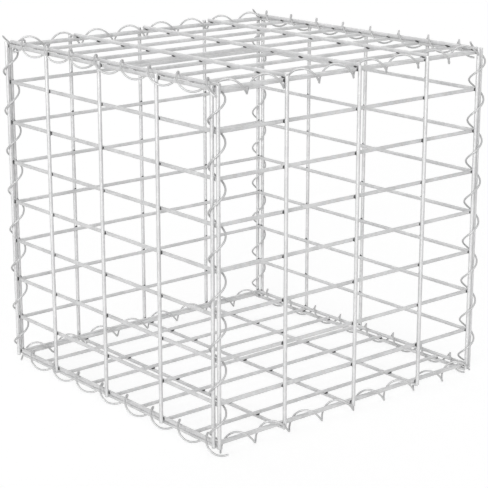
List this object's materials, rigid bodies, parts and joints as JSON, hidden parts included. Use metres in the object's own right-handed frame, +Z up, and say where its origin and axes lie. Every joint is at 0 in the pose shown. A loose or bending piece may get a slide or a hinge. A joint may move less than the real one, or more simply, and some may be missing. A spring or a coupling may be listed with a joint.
{
  "type": "gabion raised bed",
  "caption": "Cube of welded galvanised wire mesh panels with lid and base, laced along every edge by wire coils, for holding soil or stones in a garden.",
  "frame": {"origin": "under the middle of the cube, on the surface that it stands on", "axes": "+Z up, -Y out of the front wall, +X out of the right wall"},
  "size_m": [0.4172, 0.4185, 0.4149],
  "materials": {
    "mesh_wire": "satin galvanised",
    "coil_wire": "satin galvanised"
  },
  "bodies": {
    "root": {"front_wall_crosswires": "mesh_wire", "front_wall_uprights": "mesh_wire", "right_wall_crosswires": "mesh_wire", "right_wall_uprights": "mesh_wire", "back_wall_crosswires": "mesh_wire", "back_wall_uprights": "mesh_wire", "left_wall_crosswires": "mesh_wire", "left_wall_uprights": "mesh_wire", "lid_level_wires": "mesh_wire", "lid_bars": "mesh_wire", "base_level_wires": "mesh_wire", "base_bars": "mesh_wire", "corner_coil_front_left": "coil_wire", "corner_coil_front_right": "coil_wire", "corner_coil_back_left": "coil_wire", "corner_coil_back_right": "coil_wire", "lid_coil_left": "coil_wire", "lid_coil_right": "coil_wire", "lid_coil_front": "coil_wire", "lid_coil_back": "coil_wire", "base_coil_left": "coil_wire", "base_coil_right": "coil_wire", "base_coil_front": "coil_wire", "base_coil_back": "coil_wire"}
  },
  "joints": []
}
